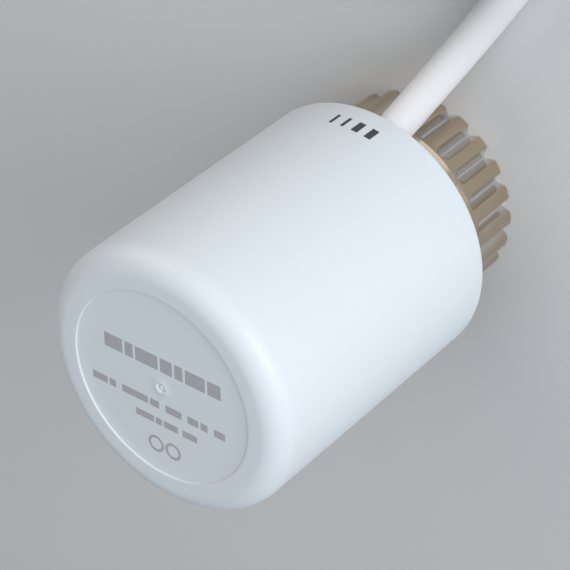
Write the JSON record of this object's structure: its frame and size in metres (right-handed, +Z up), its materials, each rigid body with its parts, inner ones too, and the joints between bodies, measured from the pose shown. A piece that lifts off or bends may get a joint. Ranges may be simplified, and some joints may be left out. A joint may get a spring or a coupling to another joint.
{
  "type": "electrothermal valve actuator head",
  "caption": "Cylindrical electrothermal actuator head for a heating valve, with a knurled union nut, lifting tappet and supply cable.",
  "frame": {"origin": "centre of the union nut's mouth, on the plane that the actuator and its cable stand on", "axes": "+Z up along the actuator's axis from the nut to the closed end of the cover; the cable leaves towards -Y"},
  "size_m": [0.0791, 0.1391, 0.0658],
  "materials": {
    "cover_plastic": "smooth moulded, fine satin",
    "base_plastic": "moulded",
    "nickel_brass": "nickel plated, bright",
    "spring_steel": "drawn",
    "seal_rubber": "soft matt",
    "screw_steel": "zinc plated",
    "cage_plastic": "moulded",
    "insulator": "mica board",
    "contact_brass": "stamped",
    "ceramic": "sintered",
    "capsule_brass": "turned",
    "wax": "waxy",
    "core_brown": "extruded",
    "core_blue": "extruded",
    "tinned_metal": "tinned",
    "cable_sheath": "extruded, soft satin",
    "tie_plastic": "moulded",
    "tappet_plastic": "glass filled",
    "label_ink": "pad print",
    "code_ink": "ink jet",
    "yoke_plastic": "glass filled"
  },
  "bodies": {
    "housing": {"outer_cover": "cover_plastic", "base_housing": "base_plastic", "nut_retaining_ring": "spring_steel", "cover_seal": "seal_rubber", "cable_grommet": "seal_rubber", "cable_clamp": "base_plastic", "clamp_screws": "screw_steel", "inner_cage": "cage_plastic", "cage_screws": "screw_steel", "insulating_disc": "insulator", "lower_contact": "contact_brass", "ptc_heater": "ceramic", "upper_contact": "contact_brass", "wax_capsule": "capsule_brass", "wax_charge": "wax", "rubber_plug": "seal_rubber", "capsule_retainer": "spring_steel", "lead_live": "core_brown", "lead_neutral": "core_blue", "crimp_terminals": "tinned_metal", "supply_cable": "cable_sheath", "cable_coil": "cable_sheath", "cable_tie": "tie_plastic", "core_brown": "core_brown", "core_blue": "core_blue", "wire_ferrules": "tinned_metal"},
    "nut": {"union_nut": "nickel_brass"},
    "lifter": {"tappet": "tappet_plastic", "lifting_yoke": "yoke_plastic", "wax_piston": "screw_steel", "closing_spring": "spring_steel"}
  },
  "joints": [
    {"name": "nut_spin", "type": "hinge", "parent": "housing", "child": "nut", "pos_m": [0, 0, 0.005], "axis": [0, 0, 1], "continuous": true},
    {"name": "tappet_lift", "type": "slide", "parent": "housing", "child": "lifter", "axis": [0, 0, 1], "range_m": [0, 0.004], "stiffness_N_per_m": 1500, "springref_m": -0.004, "deforming": ["closing_spring"]}
  ]
}
